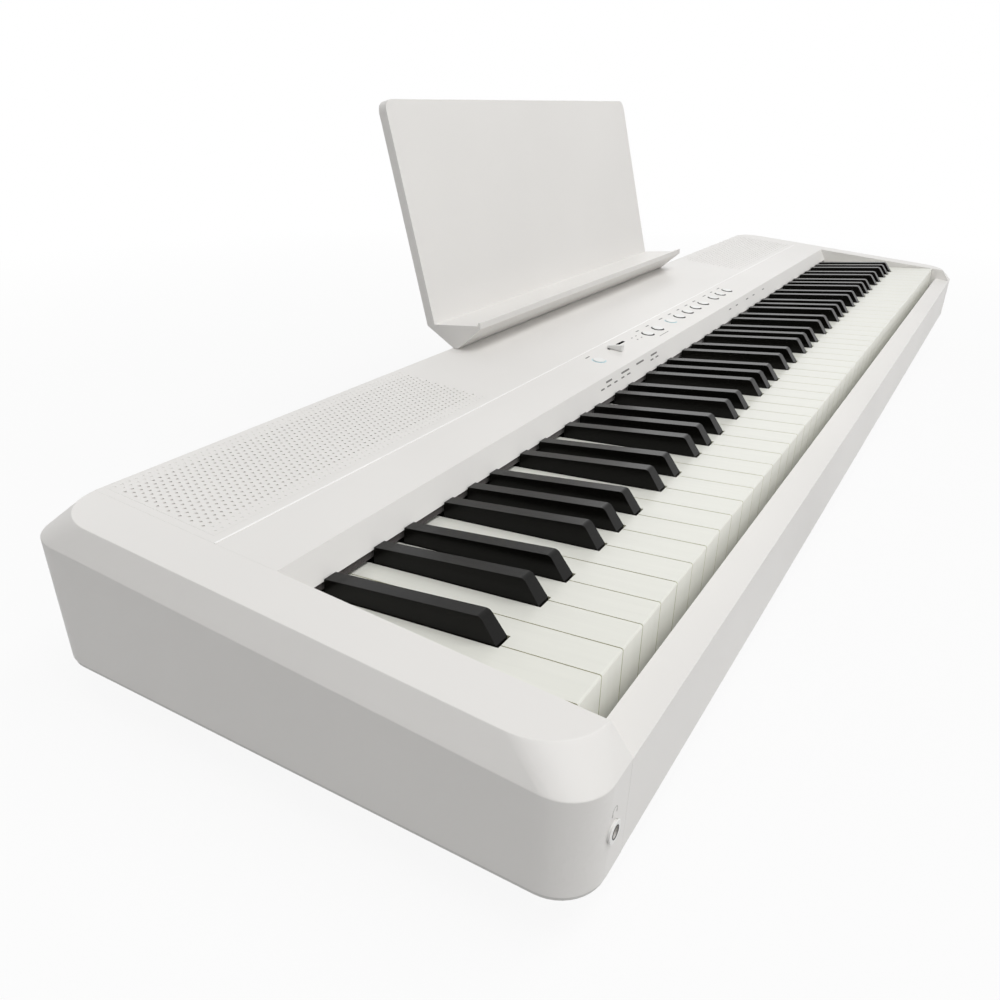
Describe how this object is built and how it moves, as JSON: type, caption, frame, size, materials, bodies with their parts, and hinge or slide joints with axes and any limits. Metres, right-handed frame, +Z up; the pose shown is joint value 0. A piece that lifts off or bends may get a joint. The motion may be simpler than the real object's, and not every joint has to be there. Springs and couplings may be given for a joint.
{
  "type": "digital piano",
  "caption": "Slab digital piano in a white case with a full weighted hammer-action keyboard, a strip of press buttons, a volume slider, top grilles and a lift-off music rest.",
  "frame": {"origin": "on the table under the middle of the case, at the centre of the middle foot", "axes": "+X to the treble (right) end, +Y to the back, +Z up; the player sits at -Y"},
  "size_m": [1.303, 0.4069, 0.3241],
  "materials": {
    "case": "fine satin texture",
    "pan": "matte",
    "socket": "matte",
    "speaker": "matte",
    "circuit": "satin",
    "sheet_metal": "zinc grey",
    "jack": "satin",
    "rubber": "matte",
    "felt": "felt",
    "shaft": "ground",
    "hammer": "matte black",
    "white_key": "ivory-feel satin",
    "black_key": "ebony-feel satin",
    "control": "satin"
  },
  "bodies": {
    "case": {"bottom_pan": "pan", "left_end_block": "case", "right_end_block": "case", "front_rail": "case", "rear_panel": "case", "rear_sockets": "socket", "top_panel": "case", "speaker_grilles": "case", "speakers": "speaker", "control_strip": "case", "panel_board": "circuit", "key_fascia": "case", "panel_rail": "sheet_metal", "phones_jack": "jack", "rubber_feet": "rubber", "keybed": "sheet_metal", "hammer_stop_rail": "sheet_metal", "action_felts": "felt", "action_shafts": "shaft", "pivot_brackets": "sheet_metal", "sensor_board": "circuit", "contact_strip": "rubber", "main_board": "circuit"},
    "c_key_set": {"c_keys": "white_key"},
    "c_hammer_set": {"c_hammers": "hammer"},
    "c_sharp_key_set": {"c_sharp_keys": "black_key"},
    "c_sharp_hammer_set": {"c_sharp_hammers": "hammer"},
    "d_key_set": {"d_keys": "white_key"},
    "d_hammer_set": {"d_hammers": "hammer"},
    "d_sharp_key_set": {"d_sharp_keys": "black_key"},
    "d_sharp_hammer_set": {"d_sharp_hammers": "hammer"},
    "e_key_set": {"e_keys": "white_key"},
    "e_hammer_set": {"e_hammers": "hammer"},
    "f_key_set": {"f_keys": "white_key"},
    "f_hammer_set": {"f_hammers": "hammer"},
    "f_sharp_key_set": {"f_sharp_keys": "black_key"},
    "f_sharp_hammer_set": {"f_sharp_hammers": "hammer"},
    "g_key_set": {"g_keys": "white_key"},
    "g_hammer_set": {"g_hammers": "hammer"},
    "g_sharp_key_set": {"g_sharp_keys": "black_key"},
    "g_sharp_hammer_set": {"g_sharp_hammers": "hammer"},
    "a_key_set": {"a_keys": "white_key"},
    "a_hammer_set": {"a_hammers": "hammer"},
    "a_sharp_key_set": {"a_sharp_keys": "black_key"},
    "a_sharp_hammer_set": {"a_sharp_hammers": "hammer"},
    "b_key_set": {"b_keys": "white_key"},
    "b_hammer_set": {"b_hammers": "hammer"},
    "power_button": {"power_button": "control"},
    "reverb_button": {"reverb_button": "control"},
    "ambience_button": {"ambience_button": "control"},
    "piano_button": {"piano_button": "control"},
    "e_piano_button": {"e_piano_button": "control"},
    "organ_button": {"organ_button": "control"},
    "strings_button": {"strings_button": "control"},
    "other_tone_button": {"other_tone_button": "control"},
    "record_button": {"record_button": "control"},
    "play_button": {"play_button": "control"},
    "metronome_button": {"metronome_button": "control"},
    "volume_slider": {"volume_slider": "control"},
    "music_rest": {"music_rest": "case"}
  },
  "joints": [
    {"name": "c_key_pivot", "type": "hinge", "parent": "case", "child": "c_key_set", "pos_m": [0, 0.08, 0.07901], "axis": [1, 0, 0], "range_deg": [0, 2.6], "stiffness_Nm_per_rad": 2, "springref_deg": -34.38},
    {"name": "c_hammer_pivot", "type": "hinge", "parent": "case", "child": "c_hammer_set", "pos_m": [0, -0.045, 0.046], "axis": [1, 0, 0], "range_deg": [0, 13]},
    {"name": "c_sharp_key_pivot", "type": "hinge", "parent": "case", "child": "c_sharp_key_set", "pos_m": [0, 0.08, 0.07901], "axis": [1, 0, 0], "range_deg": [0, 2.6], "stiffness_Nm_per_rad": 2, "springref_deg": -34.38},
    {"name": "c_sharp_hammer_pivot", "type": "hinge", "parent": "case", "child": "c_sharp_hammer_set", "pos_m": [0, -0.045, 0.046], "axis": [1, 0, 0], "range_deg": [0, 13]},
    {"name": "d_key_pivot", "type": "hinge", "parent": "case", "child": "d_key_set", "pos_m": [0, 0.08, 0.07901], "axis": [1, 0, 0], "range_deg": [0, 2.6], "stiffness_Nm_per_rad": 2, "springref_deg": -34.38},
    {"name": "d_hammer_pivot", "type": "hinge", "parent": "case", "child": "d_hammer_set", "pos_m": [0, -0.045, 0.046], "axis": [1, 0, 0], "range_deg": [0, 13]},
    {"name": "d_sharp_key_pivot", "type": "hinge", "parent": "case", "child": "d_sharp_key_set", "pos_m": [0, 0.08, 0.07901], "axis": [1, 0, 0], "range_deg": [0, 2.6], "stiffness_Nm_per_rad": 2, "springref_deg": -34.38},
    {"name": "d_sharp_hammer_pivot", "type": "hinge", "parent": "case", "child": "d_sharp_hammer_set", "pos_m": [0, -0.045, 0.046], "axis": [1, 0, 0], "range_deg": [0, 13]},
    {"name": "e_key_pivot", "type": "hinge", "parent": "case", "child": "e_key_set", "pos_m": [0, 0.08, 0.07901], "axis": [1, 0, 0], "range_deg": [0, 2.6], "stiffness_Nm_per_rad": 2, "springref_deg": -34.38},
    {"name": "e_hammer_pivot", "type": "hinge", "parent": "case", "child": "e_hammer_set", "pos_m": [0, -0.045, 0.046], "axis": [1, 0, 0], "range_deg": [0, 13]},
    {"name": "f_key_pivot", "type": "hinge", "parent": "case", "child": "f_key_set", "pos_m": [0, 0.08, 0.07901], "axis": [1, 0, 0], "range_deg": [0, 2.6], "stiffness_Nm_per_rad": 2, "springref_deg": -34.38},
    {"name": "f_hammer_pivot", "type": "hinge", "parent": "case", "child": "f_hammer_set", "pos_m": [0, -0.045, 0.046], "axis": [1, 0, 0], "range_deg": [0, 13]},
    {"name": "f_sharp_key_pivot", "type": "hinge", "parent": "case", "child": "f_sharp_key_set", "pos_m": [0, 0.08, 0.07901], "axis": [1, 0, 0], "range_deg": [0, 2.6], "stiffness_Nm_per_rad": 2, "springref_deg": -34.38},
    {"name": "f_sharp_hammer_pivot", "type": "hinge", "parent": "case", "child": "f_sharp_hammer_set", "pos_m": [0, -0.045, 0.046], "axis": [1, 0, 0], "range_deg": [0, 13]},
    {"name": "g_key_pivot", "type": "hinge", "parent": "case", "child": "g_key_set", "pos_m": [0, 0.08, 0.07901], "axis": [1, 0, 0], "range_deg": [0, 2.6], "stiffness_Nm_per_rad": 2, "springref_deg": -34.38},
    {"name": "g_hammer_pivot", "type": "hinge", "parent": "case", "child": "g_hammer_set", "pos_m": [0, -0.045, 0.046], "axis": [1, 0, 0], "range_deg": [0, 13]},
    {"name": "g_sharp_key_pivot", "type": "hinge", "parent": "case", "child": "g_sharp_key_set", "pos_m": [0, 0.08, 0.07901], "axis": [1, 0, 0], "range_deg": [0, 2.6], "stiffness_Nm_per_rad": 2, "springref_deg": -34.38},
    {"name": "g_sharp_hammer_pivot", "type": "hinge", "parent": "case", "child": "g_sharp_hammer_set", "pos_m": [0, -0.045, 0.046], "axis": [1, 0, 0], "range_deg": [0, 13]},
    {"name": "a_key_pivot", "type": "hinge", "parent": "case", "child": "a_key_set", "pos_m": [0, 0.08, 0.07901], "axis": [1, 0, 0], "range_deg": [0, 2.6], "stiffness_Nm_per_rad": 2, "springref_deg": -34.38},
    {"name": "a_hammer_pivot", "type": "hinge", "parent": "case", "child": "a_hammer_set", "pos_m": [0, -0.045, 0.046], "axis": [1, 0, 0], "range_deg": [0, 13]},
    {"name": "a_sharp_key_pivot", "type": "hinge", "parent": "case", "child": "a_sharp_key_set", "pos_m": [0, 0.08, 0.07901], "axis": [1, 0, 0], "range_deg": [0, 2.6], "stiffness_Nm_per_rad": 2, "springref_deg": -34.38},
    {"name": "a_sharp_hammer_pivot", "type": "hinge", "parent": "case", "child": "a_sharp_hammer_set", "pos_m": [0, -0.045, 0.046], "axis": [1, 0, 0], "range_deg": [0, 13]},
    {"name": "b_key_pivot", "type": "hinge", "parent": "case", "child": "b_key_set", "pos_m": [0, 0.08, 0.07901], "axis": [1, 0, 0], "range_deg": [0, 2.6], "stiffness_Nm_per_rad": 2, "springref_deg": -34.38},
    {"name": "b_hammer_pivot", "type": "hinge", "parent": "case", "child": "b_hammer_set", "pos_m": [0, -0.045, 0.046], "axis": [1, 0, 0], "range_deg": [0, 13]},
    {"name": "power_press", "type": "slide", "parent": "case", "child": "power_button", "axis": [0, 0.0698, -0.9976], "range_m": [0, 0.0012], "stiffness_N_per_m": 300, "springref_m": -0.003},
    {"name": "reverb_press", "type": "slide", "parent": "case", "child": "reverb_button", "axis": [0, 0.0698, -0.9976], "range_m": [0, 0.0012], "stiffness_N_per_m": 300, "springref_m": -0.003},
    {"name": "ambience_press", "type": "slide", "parent": "case", "child": "ambience_button", "axis": [0, 0.0698, -0.9976], "range_m": [0, 0.0012], "stiffness_N_per_m": 300, "springref_m": -0.003},
    {"name": "piano_press", "type": "slide", "parent": "case", "child": "piano_button", "axis": [0, 0.0698, -0.9976], "range_m": [0, 0.0012], "stiffness_N_per_m": 300, "springref_m": -0.003},
    {"name": "e_piano_press", "type": "slide", "parent": "case", "child": "e_piano_button", "axis": [0, 0.0698, -0.9976], "range_m": [0, 0.0012], "stiffness_N_per_m": 300, "springref_m": -0.003},
    {"name": "organ_press", "type": "slide", "parent": "case", "child": "organ_button", "axis": [0, 0.0698, -0.9976], "range_m": [0, 0.0012], "stiffness_N_per_m": 300, "springref_m": -0.003},
    {"name": "strings_press", "type": "slide", "parent": "case", "child": "strings_button", "axis": [0, 0.0698, -0.9976], "range_m": [0, 0.0012], "stiffness_N_per_m": 300, "springref_m": -0.003},
    {"name": "other_tone_press", "type": "slide", "parent": "case", "child": "other_tone_button", "axis": [0, 0.0698, -0.9976], "range_m": [0, 0.0012], "stiffness_N_per_m": 300, "springref_m": -0.003},
    {"name": "record_press", "type": "slide", "parent": "case", "child": "record_button", "axis": [0, 0.0698, -0.9976], "range_m": [0, 0.0012], "stiffness_N_per_m": 300, "springref_m": -0.003},
    {"name": "play_press", "type": "slide", "parent": "case", "child": "play_button", "axis": [0, 0.0698, -0.9976], "range_m": [0, 0.0012], "stiffness_N_per_m": 300, "springref_m": -0.003},
    {"name": "metronome_press", "type": "slide", "parent": "case", "child": "metronome_button", "axis": [0, 0.0698, -0.9976], "range_m": [0, 0.0012], "stiffness_N_per_m": 300, "springref_m": -0.003},
    {"name": "volume_travel", "type": "slide", "parent": "case", "child": "volume_slider", "axis": [1, 0, 0], "range_m": [-0.0025, 0.0305]},
    {"name": "music_rest_lift", "type": "slide", "parent": "case", "child": "music_rest", "axis": [0, -0.0698, 0.9976], "range_m": [0, 0.03]}
  ],
  "couplings": [
    {"joint": "c_hammer_pivot", "follows": "c_key_pivot", "ratio": 4.9794},
    {"joint": "c_sharp_hammer_pivot", "follows": "c_sharp_key_pivot", "ratio": 4.9794},
    {"joint": "d_hammer_pivot", "follows": "d_key_pivot", "ratio": 4.9794},
    {"joint": "d_sharp_hammer_pivot", "follows": "d_sharp_key_pivot", "ratio": 4.9794},
    {"joint": "e_hammer_pivot", "follows": "e_key_pivot", "ratio": 4.9794},
    {"joint": "f_hammer_pivot", "follows": "f_key_pivot", "ratio": 4.9794},
    {"joint": "f_sharp_hammer_pivot", "follows": "f_sharp_key_pivot", "ratio": 4.9794},
    {"joint": "g_hammer_pivot", "follows": "g_key_pivot", "ratio": 4.9794},
    {"joint": "g_sharp_hammer_pivot", "follows": "g_sharp_key_pivot", "ratio": 4.9794},
    {"joint": "a_hammer_pivot", "follows": "a_key_pivot", "ratio": 4.9794},
    {"joint": "a_sharp_hammer_pivot", "follows": "a_sharp_key_pivot", "ratio": 4.9794},
    {"joint": "b_hammer_pivot", "follows": "b_key_pivot", "ratio": 4.9794}
  ]
}
